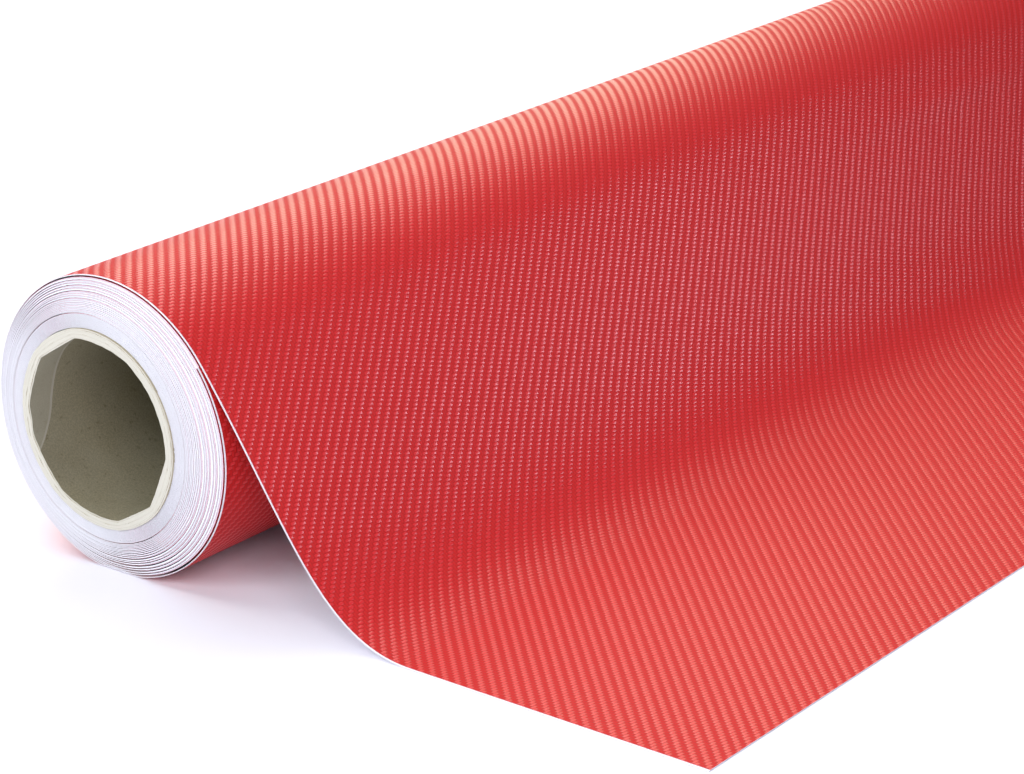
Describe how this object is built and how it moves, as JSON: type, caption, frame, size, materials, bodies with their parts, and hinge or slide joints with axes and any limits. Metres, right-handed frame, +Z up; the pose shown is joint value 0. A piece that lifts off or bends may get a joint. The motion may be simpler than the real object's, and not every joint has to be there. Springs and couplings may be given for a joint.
{
  "type": "roll of sign vinyl",
  "caption": "Roll of red embossed self-adhesive vinyl on a paperboard core, its outer turns slack and its free end drawn off flat over its release liner.",
  "frame": {"origin": "on the floor, under the middle of the whole outline, half way along the roll", "axes": "+Y along the core's axis, +X from the roll towards the free end of the web, +Z up"},
  "size_m": [0.3526, 1.222, 0.1254],
  "materials": {
    "film": "satin",
    "adhesive": "gloss",
    "liner": "satin",
    "wound_web": "satin",
    "core_board": "matte",
    "core_lining": "matte",
    "tape": "satin"
  },
  "bodies": {
    "web": {"slack_turns": "wound_web", "web_turn_8": "wound_web", "web_turn_7": "wound_web", "web_turn_6": "wound_web", "web_turn_5": "wound_web", "web_turn_4": "wound_web", "web_turn_3": "wound_web", "web_turn_2": "wound_web", "film_outer_turn": "film", "adhesive_outer_turn": "adhesive", "liner_outer_turn": "liner", "film_drape": "film", "adhesive_drape": "adhesive", "liner_drape": "liner"},
    "wound_roll": {"core_inner_ply": "core_lining", "core_board_1": "core_board", "core_board_2": "core_board", "core_outer_ply": "core_board", "start_tape": "tape", "wound_pack": "wound_web"},
    "free_end": {"film_tail": "film", "adhesive_tail": "adhesive", "liner_tail": "liner"},
    "peeled_corner": {"film_corner": "film", "adhesive_corner": "adhesive"}
  },
  "joints": [
    {"name": "roll_spin", "type": "hinge", "parent": "web", "child": "wound_roll", "pos_m": [-0.12072, 0, 0.05974], "axis": [0, 1, 0], "continuous": true},
    {"name": "sheet_lift", "type": "hinge", "parent": "web", "child": "free_end", "pos_m": [0.05128, 0, 0.00038], "axis": [0, -1, 0], "range_deg": [0, 75]},
    {"name": "film_peel", "type": "hinge", "parent": "free_end", "child": "peeled_corner", "pos_m": [0.14128, -0.5745, 0.00038], "axis": [-0.7071, -0.7071, 0], "range_deg": [0, 120]}
  ]
}
